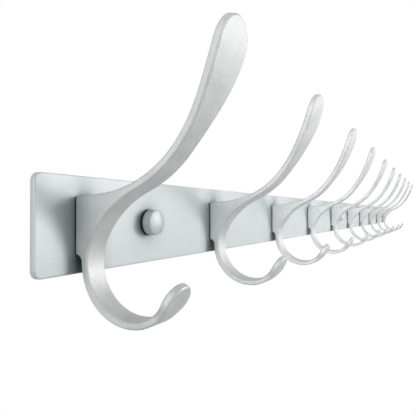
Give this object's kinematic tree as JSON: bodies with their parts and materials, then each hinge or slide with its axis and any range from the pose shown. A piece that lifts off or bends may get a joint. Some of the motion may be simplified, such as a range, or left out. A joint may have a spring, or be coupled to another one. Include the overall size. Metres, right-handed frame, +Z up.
{
  "type": "wall coat rack",
  "caption": "Long flat metal rail with a row of cast double-prong coat hooks, screwed to a wall through capped screws.",
  "frame": {"origin": "middle of the rail's wall face", "axes": "+X along the rail, -Y out into the room from the rail's front, +Z up along the upper prongs"},
  "size_m": [0.9588, 0.0983, 0.0993],
  "materials": {
    "rail": "satin, finely brushed along its length",
    "casting": "satin, bead blasted",
    "cap": "satin, turned",
    "washer": "matt black",
    "screw": "zinc plated"
  },
  "bodies": {
    "root": {"rail": "rail", "hook_01": "casting", "hook_screw_01_upper": "screw", "hook_screw_01_lower": "screw", "hook_02": "casting", "hook_screw_02_upper": "screw", "hook_screw_02_lower": "screw", "hook_03": "casting", "hook_screw_03_upper": "screw", "hook_screw_03_lower": "screw", "hook_04": "casting", "hook_screw_04_upper": "screw", "hook_screw_04_lower": "screw", "hook_05": "casting", "hook_screw_05_upper": "screw", "hook_screw_05_lower": "screw", "hook_06": "casting", "hook_screw_06_upper": "screw", "hook_screw_06_lower": "screw", "hook_07": "casting", "hook_screw_07_upper": "screw", "hook_screw_07_lower": "screw", "hook_08": "casting", "hook_screw_08_upper": "screw", "hook_screw_08_lower": "screw", "hook_09": "casting", "hook_screw_09_upper": "screw", "hook_screw_09_lower": "screw", "hook_10": "casting", "hook_screw_10_upper": "screw", "hook_screw_10_lower": "screw", "cap_washer_1": "washer", "wall_screw_1": "screw", "screw_cap_1": "cap", "cap_washer_2": "washer", "wall_screw_2": "screw", "screw_cap_2": "cap", "cap_washer_3": "washer", "wall_screw_3": "screw", "screw_cap_3": "cap"}
  },
  "joints": []
}
